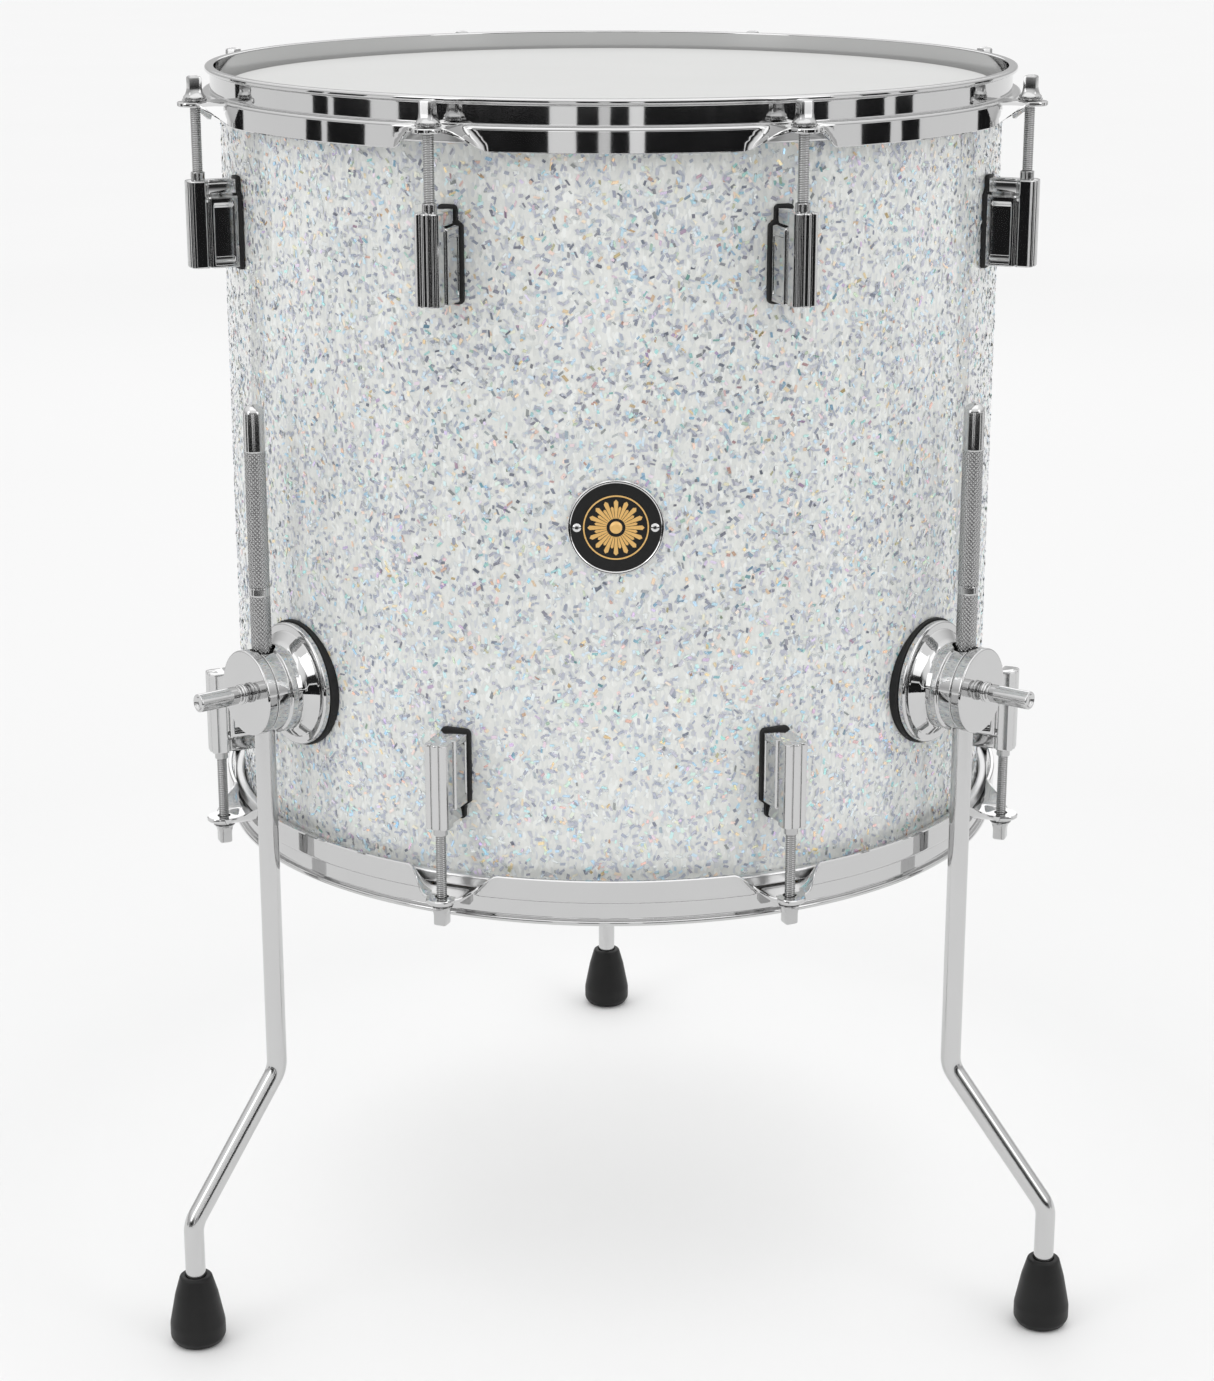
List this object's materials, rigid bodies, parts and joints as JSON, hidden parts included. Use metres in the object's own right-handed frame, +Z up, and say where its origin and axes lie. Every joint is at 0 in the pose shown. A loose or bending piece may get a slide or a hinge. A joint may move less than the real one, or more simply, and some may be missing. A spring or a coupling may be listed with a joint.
{
  "type": "floor tom drum",
  "caption": "Floor tom: glitter-wrapped wooden shell, two hooped heads with tension rods and lugs, on three height-adjustable clamped chrome legs with rubber feet.",
  "frame": {"origin": "centre of the box under the feet, on the floor", "axes": "+Z up along the drum axis, -Y towards the badge at the front, +X to the right of a person facing the badge"},
  "size_m": [0.4773, 0.5096, 0.65],
  "materials": {
    "maple_shell": "clear satin",
    "glass_glitter_wrap": "white and silver glitter under clear gloss",
    "coated_head": "white coated film",
    "hoop_chrome": "polished",
    "lug_chrome": "polished",
    "rod_steel": "bright plated thread",
    "bracket_chrome": "polished",
    "gasket_rubber": "matt",
    "bush_nylon": "plain black",
    "pad_steel": "plain",
    "screw_chrome": "polished",
    "leg_chrome": "polished, knurled above the bracket",
    "foot_rubber": "satin moulded",
    "badge_black": "gloss enamel with a plated rim"
  },
  "bodies": {
    "drum": {"shell": "maple_shell", "wrap": "glass_glitter_wrap", "batter_head": "coated_head", "resonant_head": "coated_head", "top_hoop": "hoop_chrome", "bottom_hoop": "hoop_chrome", "top_lug_1": "lug_chrome", "top_lug_2": "lug_chrome", "top_lug_3": "lug_chrome", "top_lug_4": "lug_chrome", "top_lug_5": "lug_chrome", "top_lug_6": "lug_chrome", "top_lug_7": "lug_chrome", "top_lug_8": "lug_chrome", "bottom_lug_1": "lug_chrome", "bottom_lug_2": "lug_chrome", "bottom_lug_3": "lug_chrome", "bottom_lug_4": "lug_chrome", "bottom_lug_5": "lug_chrome", "bottom_lug_6": "lug_chrome", "bottom_lug_7": "lug_chrome", "bottom_lug_8": "lug_chrome", "bracket_left": "bracket_chrome", "bracket_right": "bracket_chrome", "bracket_back": "bracket_chrome", "gasket_left": "gasket_rubber", "gasket_right": "gasket_rubber", "gasket_back": "gasket_rubber", "badge": "badge_black"},
    "top_rod_1": {"top_rod_1": "rod_steel"},
    "top_rod_2": {"top_rod_2": "rod_steel"},
    "top_rod_3": {"top_rod_3": "rod_steel"},
    "top_rod_4": {"top_rod_4": "rod_steel"},
    "top_rod_5": {"top_rod_5": "rod_steel"},
    "top_rod_6": {"top_rod_6": "rod_steel"},
    "top_rod_7": {"top_rod_7": "rod_steel"},
    "top_rod_8": {"top_rod_8": "rod_steel"},
    "bottom_rod_1": {"bottom_rod_1": "rod_steel"},
    "bottom_rod_2": {"bottom_rod_2": "rod_steel"},
    "bottom_rod_3": {"bottom_rod_3": "rod_steel"},
    "bottom_rod_4": {"bottom_rod_4": "rod_steel"},
    "bottom_rod_5": {"bottom_rod_5": "rod_steel"},
    "bottom_rod_6": {"bottom_rod_6": "rod_steel"},
    "bottom_rod_7": {"bottom_rod_7": "rod_steel"},
    "bottom_rod_8": {"bottom_rod_8": "rod_steel"},
    "bush_left": {"bush_left": "bush_nylon"},
    "leg_left": {"leg_left": "leg_chrome", "foot_left": "foot_rubber"},
    "clamp_pad_left": {"clamp_pad_left": "pad_steel"},
    "clamp_screw_left": {"clamp_screw_left": "screw_chrome"},
    "bush_right": {"bush_right": "bush_nylon"},
    "leg_right": {"leg_right": "leg_chrome", "foot_right": "foot_rubber"},
    "clamp_pad_right": {"clamp_pad_right": "pad_steel"},
    "clamp_screw_right": {"clamp_screw_right": "screw_chrome"},
    "bush_back": {"bush_back": "bush_nylon"},
    "leg_back": {"leg_back": "leg_chrome", "foot_back": "foot_rubber"},
    "clamp_pad_back": {"clamp_pad_back": "pad_steel"},
    "clamp_screw_back": {"clamp_screw_back": "screw_chrome"}
  },
  "joints": [
    {"name": "top_rod_1_turn", "type": "hinge", "parent": "drum", "child": "top_rod_1", "pos_m": [0.08169, -0.24613, 0.65], "axis": [0, 0, 1], "continuous": true},
    {"name": "top_rod_2_turn", "type": "hinge", "parent": "drum", "child": "top_rod_2", "pos_m": [0.20281, -0.12501, 0.65], "axis": [0, 0, 1], "continuous": true},
    {"name": "top_rod_3_turn", "type": "hinge", "parent": "drum", "child": "top_rod_3", "pos_m": [0.20281, 0.04628, 0.65], "axis": [0, 0, 1], "continuous": true},
    {"name": "top_rod_4_turn", "type": "hinge", "parent": "drum", "child": "top_rod_4", "pos_m": [0.08169, 0.1674, 0.65], "axis": [0, 0, 1], "continuous": true},
    {"name": "top_rod_5_turn", "type": "hinge", "parent": "drum", "child": "top_rod_5", "pos_m": [-0.0896, 0.1674, 0.65], "axis": [0, 0, 1], "continuous": true},
    {"name": "top_rod_6_turn", "type": "hinge", "parent": "drum", "child": "top_rod_6", "pos_m": [-0.21072, 0.04628, 0.65], "axis": [0, 0, 1], "continuous": true},
    {"name": "top_rod_7_turn", "type": "hinge", "parent": "drum", "child": "top_rod_7", "pos_m": [-0.21072, -0.12501, 0.65], "axis": [0, 0, 1], "continuous": true},
    {"name": "top_rod_8_turn", "type": "hinge", "parent": "drum", "child": "top_rod_8", "pos_m": [-0.0896, -0.24613, 0.65], "axis": [0, 0, 1], "continuous": true},
    {"name": "bottom_rod_1_turn", "type": "hinge", "parent": "drum", "child": "bottom_rod_1", "pos_m": [0.08169, -0.24613, 0.2486], "axis": [0, 0, 1], "continuous": true},
    {"name": "bottom_rod_2_turn", "type": "hinge", "parent": "drum", "child": "bottom_rod_2", "pos_m": [0.20281, -0.12501, 0.2486], "axis": [0, 0, 1], "continuous": true},
    {"name": "bottom_rod_3_turn", "type": "hinge", "parent": "drum", "child": "bottom_rod_3", "pos_m": [0.20281, 0.04628, 0.2486], "axis": [0, 0, 1], "continuous": true},
    {"name": "bottom_rod_4_turn", "type": "hinge", "parent": "drum", "child": "bottom_rod_4", "pos_m": [0.08169, 0.1674, 0.2486], "axis": [0, 0, 1], "continuous": true},
    {"name": "bottom_rod_5_turn", "type": "hinge", "parent": "drum", "child": "bottom_rod_5", "pos_m": [-0.0896, 0.1674, 0.2486], "axis": [0, 0, 1], "continuous": true},
    {"name": "bottom_rod_6_turn", "type": "hinge", "parent": "drum", "child": "bottom_rod_6", "pos_m": [-0.21072, 0.04628, 0.2486], "axis": [0, 0, 1], "continuous": true},
    {"name": "bottom_rod_7_turn", "type": "hinge", "parent": "drum", "child": "bottom_rod_7", "pos_m": [-0.21072, -0.12501, 0.2486], "axis": [0, 0, 1], "continuous": true},
    {"name": "bottom_rod_8_turn", "type": "hinge", "parent": "drum", "child": "bottom_rod_8", "pos_m": [-0.0896, -0.24613, 0.2486], "axis": [0, 0, 1], "continuous": true},
    {"name": "leg_left_swivel", "type": "hinge", "parent": "drum", "child": "bush_left", "pos_m": [-0.18141, -0.17802, 0.3495], "axis": [0, 0, 1], "continuous": true},
    {"name": "leg_left_height", "type": "slide", "parent": "bush_left", "child": "leg_left", "axis": [0, 0, 1], "range_m": [-0.1, 0.09]},
    {"name": "clamp_pad_left_travel", "type": "slide", "parent": "drum", "child": "clamp_pad_left", "axis": [-0.788, -0.6157, 0], "range_m": [0, 0.0013]},
    {"name": "clamp_screw_left_turn", "type": "hinge", "parent": "clamp_pad_left", "child": "clamp_screw_left", "pos_m": [-0.18961, -0.18442, 0.3495], "axis": [-0.788, -0.6157, 0], "range_deg": [0, 360]},
    {"name": "leg_right_swivel", "type": "hinge", "parent": "drum", "child": "bush_right", "pos_m": [0.17351, -0.17802, 0.3495], "axis": [0, 0, 1], "continuous": true},
    {"name": "leg_right_height", "type": "slide", "parent": "bush_right", "child": "leg_right", "axis": [0, 0, 1], "range_m": [-0.1, 0.09]},
    {"name": "clamp_pad_right_travel", "type": "slide", "parent": "drum", "child": "clamp_pad_right", "axis": [0.788, -0.6157, 0], "range_m": [0, 0.0013]},
    {"name": "clamp_screw_right_turn", "type": "hinge", "parent": "clamp_pad_right", "child": "clamp_screw_right", "pos_m": [0.1817, -0.18442, 0.3495], "axis": [0.788, -0.6157, 0], "range_deg": [0, 360]},
    {"name": "leg_back_swivel", "type": "hinge", "parent": "drum", "child": "bush_back", "pos_m": [-0.00395, 0.18583, 0.3495], "axis": [0, 0, 1], "continuous": true},
    {"name": "leg_back_height", "type": "slide", "parent": "bush_back", "child": "leg_back", "axis": [0, 0, 1], "range_m": [-0.1, 0.09]},
    {"name": "clamp_pad_back_travel", "type": "slide", "parent": "drum", "child": "clamp_pad_back", "axis": [0, 1, 0], "range_m": [0, 0.0013]},
    {"name": "clamp_screw_back_turn", "type": "hinge", "parent": "clamp_pad_back", "child": "clamp_screw_back", "pos_m": [-0.00395, 0.19623, 0.3495], "axis": [0, 1, 0], "range_deg": [0, 360]}
  ],
  "couplings": [
    {"joint": "clamp_pad_left_travel", "follows": "clamp_screw_left_turn", "m_per_rad": 0.00019894},
    {"joint": "clamp_pad_right_travel", "follows": "clamp_screw_right_turn", "m_per_rad": 0.00019894},
    {"joint": "clamp_pad_back_travel", "follows": "clamp_screw_back_turn", "m_per_rad": 0.00019894}
  ]
}
